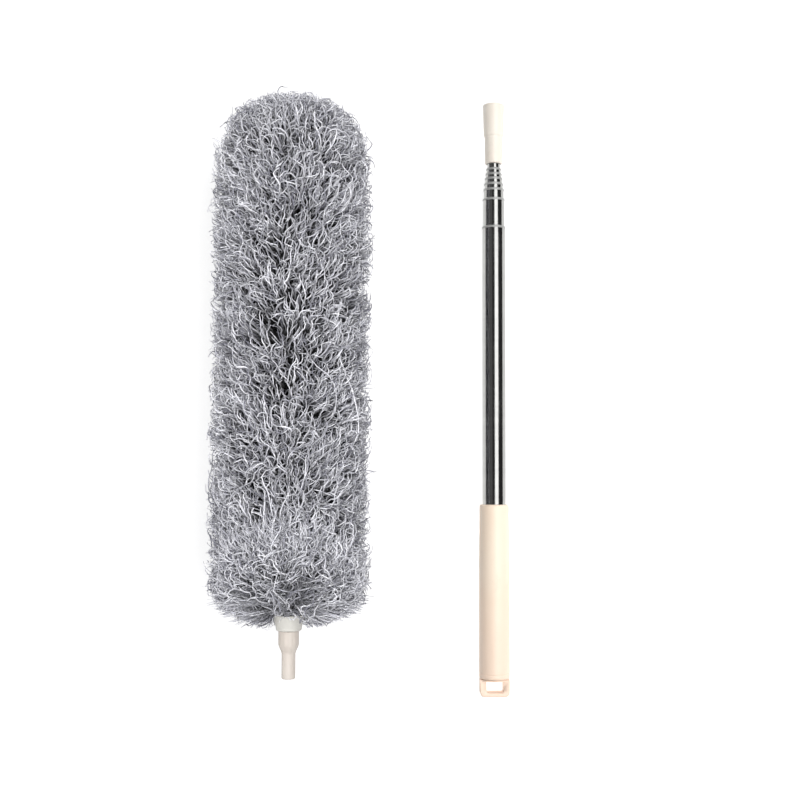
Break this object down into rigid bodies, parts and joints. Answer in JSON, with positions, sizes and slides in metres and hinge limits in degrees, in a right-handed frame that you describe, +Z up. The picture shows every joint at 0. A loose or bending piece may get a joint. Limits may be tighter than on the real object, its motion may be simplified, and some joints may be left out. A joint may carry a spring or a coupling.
{
  "type": "telescopic feather duster",
  "caption": "Long fringed duster head with a plug-in spigot, lying beside its collapsed telescopic steel pole with a moulded grip, a hanging loop and a tip socket.",
  "frame": {"origin": "centre of the flat-laid pair's footprint, on the surface that they lie on", "axes": "+Y along the pole from its hanging loop to its tip socket, +X from the duster head to the pole, +Z up"},
  "size_m": [0.2906, 0.5954, 0.154],
  "materials": {
    "stainless": "polished",
    "cream_plastic": "satin",
    "ivory_plastic": "satin",
    "nylon": "satin",
    "spring_wire": "satin",
    "backing_cloth": "matte",
    "yarn_fringe": "matte"
  },
  "bodies": {
    "section_2": {"tube_2": "stainless", "guide_bush_2": "nylon"},
    "tip_section": {"tube_1": "stainless", "guide_bush_1": "nylon", "socket_adapter": "cream_plastic"},
    "section_3": {"tube_3": "stainless", "guide_bush_3": "nylon"},
    "section_4": {"tube_4": "stainless", "guide_bush_4": "nylon"},
    "section_5": {"tube_5": "stainless", "guide_bush_5": "nylon"},
    "section_6": {"tube_6": "stainless", "guide_bush_6": "nylon"},
    "section_7": {"tube_7": "stainless", "guide_bush_7": "nylon"},
    "handle": {"tube_8": "stainless", "grip": "cream_plastic", "tube_plug": "nylon", "hanging_loop": "cream_plastic"},
    "head": {"connector": "ivory_plastic", "core_ferrule": "nylon", "collar": "ivory_plastic", "core_wire": "spring_wire", "core_sleeve": "backing_cloth", "pile_base": "yarn_fringe"},
    "head_tip": {"pile_tip": "yarn_fringe", "tip_cap": "nylon"}
  },
  "joints": [
    {"name": "tube_1_slide", "type": "slide", "parent": "section_2", "child": "tip_section", "axis": [0, 1, 0], "range_m": [0, 0.34]},
    {"name": "tube_3_slide", "type": "slide", "parent": "section_2", "child": "section_3", "axis": [0, -1, 0], "range_m": [0, 0.34]},
    {"name": "tube_4_slide", "type": "slide", "parent": "section_3", "child": "section_4", "axis": [0, -1, 0], "range_m": [0, 0.34]},
    {"name": "tube_5_slide", "type": "slide", "parent": "section_4", "child": "section_5", "axis": [0, -1, 0], "range_m": [0, 0.34]},
    {"name": "tube_6_slide", "type": "slide", "parent": "section_5", "child": "section_6", "axis": [0, -1, 0], "range_m": [0, 0.34]},
    {"name": "tube_7_slide", "type": "slide", "parent": "section_6", "child": "section_7", "axis": [0, -1, 0], "range_m": [0, 0.34]},
    {"name": "handle_slide", "type": "slide", "parent": "section_7", "child": "handle", "axis": [0, -1, 0], "range_m": [0, 0.34]},
    {"name": "head_carry", "type": "slide", "parent": "section_2", "child": "head", "axis": [0.2183, 0.9735, -0.0679], "range_m": [0, 0.90877]},
    {"name": "head_bend", "type": "hinge", "parent": "head", "child": "head_tip", "pos_m": [-0.06832, 0.02725, 0.077], "axis": [0, 0, 1], "range_deg": [0, 70], "deforming": ["core_wire", "core_sleeve", "pile_base", "pile_tip"]}
  ]
}
